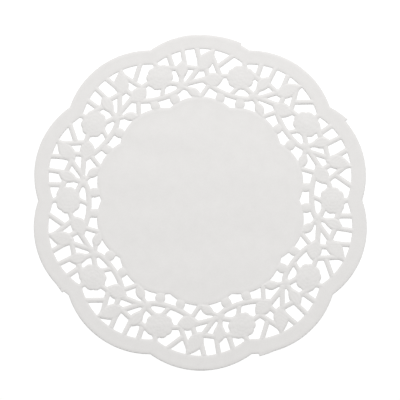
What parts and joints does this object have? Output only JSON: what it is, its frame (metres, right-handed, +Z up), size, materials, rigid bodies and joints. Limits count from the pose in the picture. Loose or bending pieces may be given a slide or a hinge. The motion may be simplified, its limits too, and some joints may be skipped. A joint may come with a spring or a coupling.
{
  "type": "round paper doily",
  "caption": "Flat round paper doily with a scalloped rim, a plain middle and a die-cut border of roses, leaves and bars between open gaps.",
  "frame": {"origin": "middle of the underside, on the surface that the doily lies on", "axes": "+Z up through the sheet, +Y towards the highest point of one scallop, +X to its right"},
  "size_m": [0.161, 0.165, 0.001],
  "materials": {
    "paper": "matt"
  },
  "bodies": {
    "root": {"doily": "paper"}
  },
  "joints": []
}
